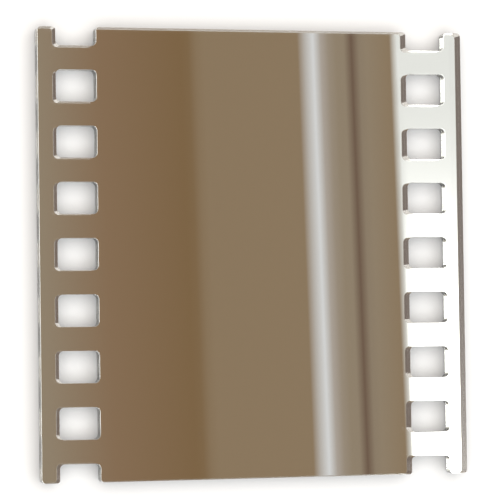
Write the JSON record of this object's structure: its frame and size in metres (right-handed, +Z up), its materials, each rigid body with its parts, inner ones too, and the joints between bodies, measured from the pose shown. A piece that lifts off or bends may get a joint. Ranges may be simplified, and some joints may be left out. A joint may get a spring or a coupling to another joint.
{
  "type": "perforated film frame wall mirror",
  "caption": "Flat acrylic wall mirror cut in the outline of one frame of perforated film, held to a wall by double-sided foam pads.",
  "frame": {"origin": "on the wall plane, behind the middle of the plate", "axes": "+Z up the plate, +Y into the wall, the mirror looks towards -Y"},
  "size_m": [0.1, 0.0044, 0.1024],
  "materials": {
    "clear_acrylic": "gloss",
    "mirror_metal": "polished",
    "backing_paint": "matte",
    "pad_foam": "matte",
    "pad_adhesive": "gloss"
  },
  "bodies": {
    "root": {"acrylic_sheet": "clear_acrylic", "mirror_film": "mirror_metal", "backing_coat": "backing_paint", "pad_top_left_wall_adhesive": "pad_adhesive", "pad_top_left_foam": "pad_foam", "pad_top_left_mirror_adhesive": "pad_adhesive", "pad_top_right_wall_adhesive": "pad_adhesive", "pad_top_right_foam": "pad_foam", "pad_top_right_mirror_adhesive": "pad_adhesive", "pad_bottom_left_wall_adhesive": "pad_adhesive", "pad_bottom_left_foam": "pad_foam", "pad_bottom_left_mirror_adhesive": "pad_adhesive", "pad_bottom_right_wall_adhesive": "pad_adhesive", "pad_bottom_right_foam": "pad_foam", "pad_bottom_right_mirror_adhesive": "pad_adhesive"}
  },
  "joints": []
}
